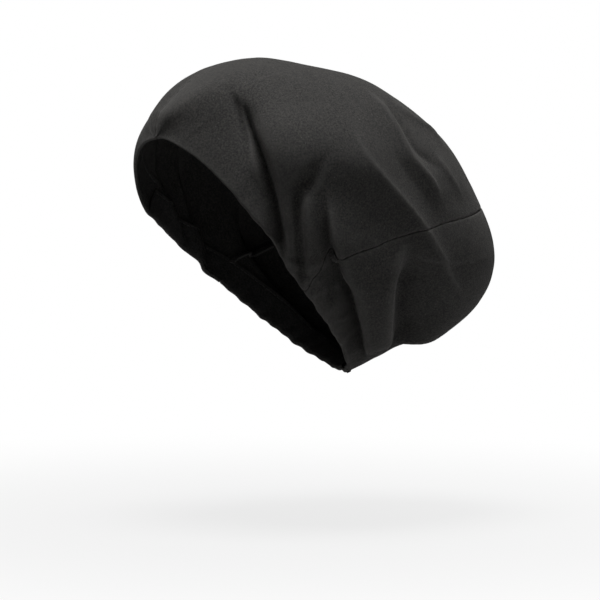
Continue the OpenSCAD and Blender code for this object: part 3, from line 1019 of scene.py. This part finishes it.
# %% Elastic and thread
def ribbed_elastic():
    """Black woven elastic: ribs that run along it, crossed by weft lines."""
    made, start, shader = new_material("black_elastic")
    thread = start.node("ShaderNodeUVMap", {}, uv_map="thread")
    place = start.node("ShaderNodeTexCoord", {}, out=3)
    cores, weft = thread.axis("Y").wave(0.0011), thread.axis("X").wave(0.0007)
    yarn = place.noise(0.0009, 2.0)
    colour = (0.6 * cores + 0.4 * yarn).blend((0.018, 0.018, 0.019, 1), (0.05, 0.05, 0.052, 1))
    height = cores * (0.6 + 0.4 * weft) + 0.3 * yarn
    bump = start.node("ShaderNodeBump", {"Strength": 0.6, "Distance": 0.0003, "Height": height})
    for slot, value in (("Base Color", colour), ("Roughness", 0.62 + 0.16 * weft), ("Normal", bump)):
        made.node_tree.links.new(value.socket, shader.inputs[slot])
    return made


def sewing_thread():
    """Black polyester thread with a twist."""
    made, start, shader = new_material("black_thread")
    place = start.node("ShaderNodeTexCoord", {}, out=3)
    slant = place.axis("X") + place.axis("Y") + place.axis("Z")
    twist, fibre = slant.wave(0.0004), place.noise(0.0006, 2.0)
    colour = (0.5 * twist + 0.5 * fibre).blend((0.024, 0.024, 0.025, 1), (0.07, 0.069, 0.067, 1))
    bump = start.node("ShaderNodeBump", {"Strength": 0.5, "Distance": 0.0001, "Height": twist + 0.4 * fibre})
    for slot, value in (("Base Color", colour), ("Roughness", 0.55 + 0.2 * fibre), ("Normal", bump)):
        made.node_tree.links.new(value.socket, shader.inputs[slot])
    shader.inputs["Sheen Weight"].default_value = 0.15
    return made


black_elastic, black_thread = ribbed_elastic(), sewing_thread()
print("materials:", len(bpy.data.materials))

# %% [markdown]
# ## What each piece stands for
#
# Each looks piece takes the place of a part of the construction model and moves with it. The
# cloth pieces were cut from flat cloth. A crown panel is cut about 300 mm
# along the midline curve by 230 mm up the rib, but as a deep curved pattern that fills just
# over half of that rectangle. The facing, the casing and the elastic are straight strips.
#
# Two of these sizes are not good. The back panel measures about 404 mm from hem to hem and
# 169 mm down the midline, so its area is near but its rectangle is not. The elastic is only
# 3 to 9 percent longer than its cut, and wider than a 12 mm elastic could get by stretching.

# %% Stand-ins
STANDS_FOR = [
    (crown_left, "crown_left", "cloth", black_twill), (crown_right, "crown_right", "cloth", black_twill),
    (back_cloth, "back_panel", "cloth", black_twill), (facing, "front_facing", "cloth", facing_twill),
    (casing, "nape_casing", "cloth", facing_twill), (elastic, "elastic_band", "elastic", black_elastic),
    (centre_fin, "centre_seam", "overlock", black_twill),
    (centre_thread, "centre_seam", "overlock", black_thread),
    (back_fin, "back_seam", "overlock", black_twill), (back_thread, "back_seam", "overlock", black_thread),
    (facing_stitches, "front_facing", "overlock", black_thread),
    (casing_stitches, "nape_casing", "overlock", black_thread),
]
for piece, node, slot, look in STANDS_FOR:
    piece.data.materials.append(look)
    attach(piece, "root")
    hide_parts(node)

print("pieces:", len(STANDS_FOR))

# %% [markdown]
# ## Camera
#
# The cap is seen from its left side and a little in front, almost level, with a long lens, so
# that near and far parts keep nearly their true proportions.

# %% Camera
AZIMUTH, ELEVATION = math.radians(65), math.radians(4)
right_way = np.array([math.cos(AZIMUTH), math.sin(AZIMUTH), 0])
near_way = np.array([math.sin(AZIMUTH), -math.cos(AZIMUTH), 0])
to_camera = near_way * math.cos(ELEVATION) + np.array([0, 0, math.sin(ELEVATION)])
up_way = np.cross(to_camera, right_way)


def aimed(name, data, place, target):
    """An object for a camera or a light at a place, its back turned away from a target."""
    made = bpy.data.objects.new(name, data)
    made.location = place
    made.rotation_mode = "QUATERNION"
    made.rotation_quaternion = (Vector(target) - Vector(place)).to_track_quat("-Z", "Y")
    bpy.context.scene.collection.objects.link(made)
    return made


target = right_way * 0.035 - up_way * 0.025
camera = aimed("camera", bpy.data.cameras.new("camera"), target + to_camera * 2.2, target)
camera.data.sensor_width, camera.data.lens, camera.data.clip_end = 36, 203, 20
bpy.context.scene.camera = camera
print("camera, metres:", [round(v, 2) for v in camera.location])

# %% [markdown]
# ## Lights
#
# Black cloth shows its folds only where light rakes over it. One large soft light hangs high
# above and shades every fold from the top. Two more stand behind the cap, left and right, and
# draw a pale rim along its outline. A weak one stands at the front right, level with the cap,
# for the lowest lobe. Little light comes from the camera's side, so the valleys stay deep.

# %% Lights
def soft_light(name, right, up, near, size, power, aim=(0, 0.03, 0.03)):
    """A square soft light: metres to the camera's right, up, and towards the camera; watts."""
    data = bpy.data.lights.new(name, "AREA")
    data.shape, data.size, data.energy = "SQUARE", size, power
    return aimed(name, data, right_way * right + near_way * near + np.array([0, 0, up]), aim)


soft_light("top_softbox", -0.05, 1.4, 0.2, 0.6, 26.0)
soft_light("right_rear_softbox", 1.3, -0.1, -0.4, 0.9, 3.0)
soft_light("left_rear_softbox", -1.1, 0.6, -1.3, 0.9, 1.8)
soft_light("right_front_softbox", 1.2, 0.0, 0.5, 0.5, 1.0)
print("lights:", len(bpy.data.lights))

# %% [markdown]
# ## Floor and background
#
# The cap floats over a pale floor, as it would on a hidden stand. The floor fades to the
# white background away from the middle, where it keeps a faint shadow, and it is clear when
# seen from below, so that the inside can be looked at. The background is white to the camera
# and dim as a light.

# %% Floor and background
def emptied(tree):
    """A node tree with nothing in it, as a Signal to start from."""
    tree.nodes.clear()
    return Signal(tree)


world = bpy.data.worlds.new("studio")
bpy.context.scene.world = world
world.use_nodes = True
start = emptied(world.node_tree)
seen = start.node("ShaderNodeLightPath", {}, out=0)
glow = start.node("ShaderNodeBackground", {"Color": (1, 1, 1, 1), "Strength": 0.03})
white = start.node("ShaderNodeBackground", {"Color": (1, 1, 1, 1), "Strength": 1.0})
sky = start.node("ShaderNodeMixShader", {0: seen, 1: glow, 2: white})
world_output = world.node_tree.nodes.new("ShaderNodeOutputWorld")
world.node_tree.links.new(sky.socket, world_output.inputs["Surface"])

FLOOR = -0.172
floor_mesh = bpy.data.meshes.new("floor")
floor_mesh.from_pydata([(-3, -3, FLOOR), (3, -3, FLOOR), (3, 3, FLOOR), (-3, 3, FLOOR)], [], [(0, 1, 2, 3)])
floor = bpy.data.objects.new("floor", floor_mesh)
bpy.context.scene.collection.objects.link(floor)
pale_floor = bpy.data.materials.new("pale_floor")
pale_floor.use_nodes = True
start = emptied(pale_floor.node_tree)
place = start.node("ShaderNodeTexCoord", {}, out=3)
away = place.node("ShaderNodeVectorMath", {0: place}, out=1, operation="LENGTH")
seen = start.node("ShaderNodeLightPath", {}, out=0)
below = start.node("ShaderNodeNewGeometry", {}, out=6)
matt = start.node("ShaderNodeBsdfDiffuse", {"Color": (0.38, 0.38, 0.38, 1)})
bright = start.node("ShaderNodeEmission", {"Strength": 1.0})
shown = start.node("ShaderNodeMixShader", {0: seen * (0.8 + 0.2 * away.within(0.1, 0.6)), 1: matt, 2: bright})
clear = start.node("ShaderNodeBsdfTransparent", {})
surface = start.node("ShaderNodeMixShader", {0: below, 1: shown, 2: clear})
floor_output = pale_floor.node_tree.nodes.new("ShaderNodeOutputMaterial")
pale_floor.node_tree.links.new(surface.socket, floor_output.inputs["Surface"])
floor_mesh.materials.append(pale_floor)
bpy.context.scene.view_settings.view_transform = "Standard"
print("floor at", FLOOR, "m")
